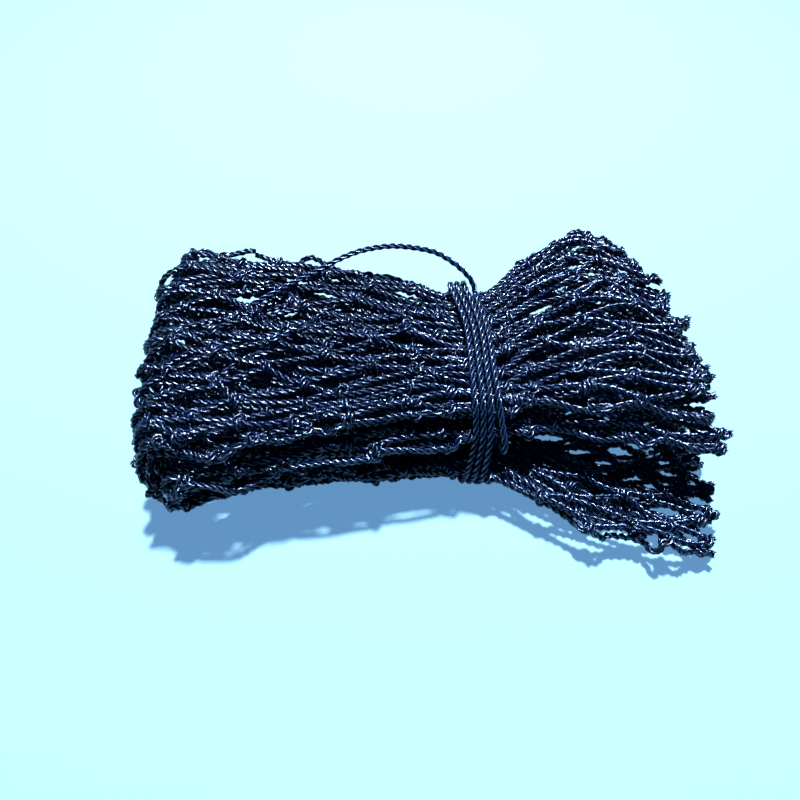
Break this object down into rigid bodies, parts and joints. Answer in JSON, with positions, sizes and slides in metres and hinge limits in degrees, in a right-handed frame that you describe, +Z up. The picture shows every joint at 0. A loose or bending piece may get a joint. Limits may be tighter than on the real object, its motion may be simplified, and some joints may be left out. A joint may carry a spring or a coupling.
{
  "type": "folded fishing net tied with a cord",
  "caption": "Knotted twine fishing net folded flat into a loose bundle, held by a cord wound round its waist that ends in a raised loose loop.",
  "frame": {"origin": "on the surface that the bundle lies on, under the middle of the net and its tie", "axes": "+X along the bundle towards its cut ends, +Y from its front edge to its doubled back edge, +Z up"},
  "size_m": [0.3586, 0.2094, 0.0944],
  "materials": {
    "net_twine": "glossy twisted filament twine, near black with a navy tint",
    "tie_cord": "glossy twisted filament cord, near black with a navy tint"
  },
  "bodies": {
    "root": {"net": "net_twine", "tie_turns": "tie_cord", "tie_loose_end": "tie_cord"}
  },
  "joints": []
}
